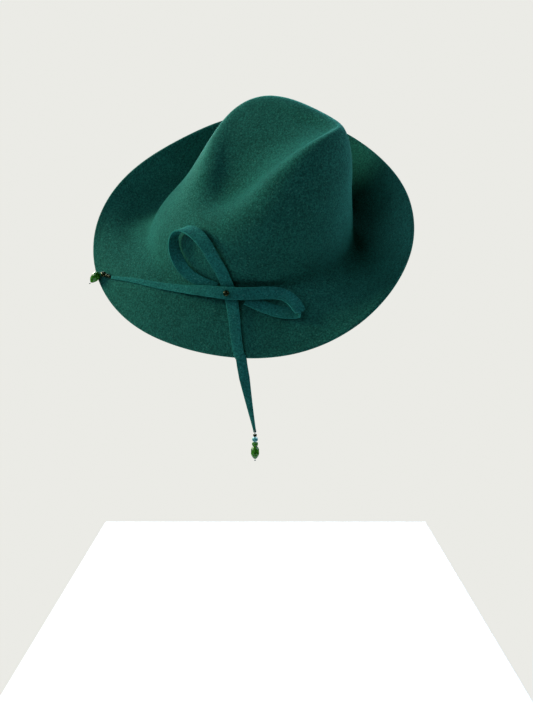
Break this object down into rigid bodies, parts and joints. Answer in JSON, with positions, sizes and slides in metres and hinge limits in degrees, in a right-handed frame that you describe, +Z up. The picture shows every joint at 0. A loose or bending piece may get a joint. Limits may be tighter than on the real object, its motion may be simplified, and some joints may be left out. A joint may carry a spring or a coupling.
{
  "type": "felt hat",
  "caption": "Creased felt hat, worn tilted, with a brim that turns up at one side and the back and a flat strip bow with beaded tails.",
  "frame": {"origin": "centre of the head opening, where the head holds the hat", "axes": "+Z up with the wearer upright, -Y the way the wearer faces, +X to the wearer's left; the hat leans 41 degrees over the left ear"},
  "size_m": [0.1564, 0.2905, 0.3143],
  "materials": {
    "felt": "short brushed nap, soft sheen",
    "strip_felt": "smooth pressed felt with lighter cut edges",
    "petersham": "ribbed ribbon",
    "thread": "twisted polyester thread",
    "wire": "millinery wire",
    "dark_glass": "dark bronze-green glass",
    "turquoise_glass": "pearly turquoise glass",
    "green_glass": "faceted clear green glass"
  },
  "bodies": {
    "hat": {"felt_body": "felt", "brim_wire": "wire", "hem_stitching": "thread", "sweatband": "petersham", "sweatband_stitching": "thread", "bow_front_strip": "strip_felt", "bow_back_strip": "strip_felt", "knot_bead": "dark_glass", "knot_bead_thread": "thread", "brim_thread": "thread", "brim_seed_bead_a": "dark_glass", "brim_seed_bead_b": "dark_glass", "brim_end_knot": "thread"},
    "tail": {"hanging_tail": "strip_felt"},
    "bead_string": {"hanging_thread": "thread", "hanging_seed_bead": "dark_glass", "hanging_end_knot": "thread"},
    "string_round_bead": {"hanging_round_bead": "turquoise_glass"},
    "string_rondelle": {"hanging_rondelle": "green_glass"},
    "string_drop": {"hanging_drop": "green_glass"},
    "edge_round_bead": {"brim_round_bead": "dark_glass"},
    "edge_drop": {"brim_drop": "green_glass"}
  },
  "joints": [
    {"name": "tail_swing", "type": "hinge", "parent": "hat", "child": "tail", "pos_m": [0.0744, -0.0075, -0.1009], "axis": [0, -1, 0], "range_deg": [-20, 80]},
    {"name": "string_swing", "type": "hinge", "parent": "tail", "child": "bead_string", "pos_m": [0.0744, 0.0046, -0.1675], "axis": [1, 0, 0], "range_deg": [-40, 40]},
    {"name": "round_bead_spin", "type": "hinge", "parent": "bead_string", "child": "string_round_bead", "pos_m": [0.0744, 0.0046, -0.17365], "axis": [0, 0, 1], "continuous": true},
    {"name": "rondelle_spin", "type": "hinge", "parent": "bead_string", "child": "string_rondelle", "pos_m": [0.0744, 0.0046, -0.1778], "axis": [0, 0, 1], "continuous": true},
    {"name": "drop_spin", "type": "hinge", "parent": "bead_string", "child": "string_drop", "pos_m": [0.0744, 0.0046, -0.1856], "axis": [0, 0, 1], "continuous": true},
    {"name": "edge_bead_spin", "type": "hinge", "parent": "hat", "child": "edge_round_bead", "pos_m": [0.01977, -0.13424, -0.03483], "axis": [0.4553, 0.8461, -0.2772], "continuous": true},
    {"name": "edge_drop_spin", "type": "hinge", "parent": "hat", "child": "edge_drop", "pos_m": [0.01708, -0.14353, -0.03807], "axis": [0, 0.6606, 0.7507], "continuous": true}
  ]
}
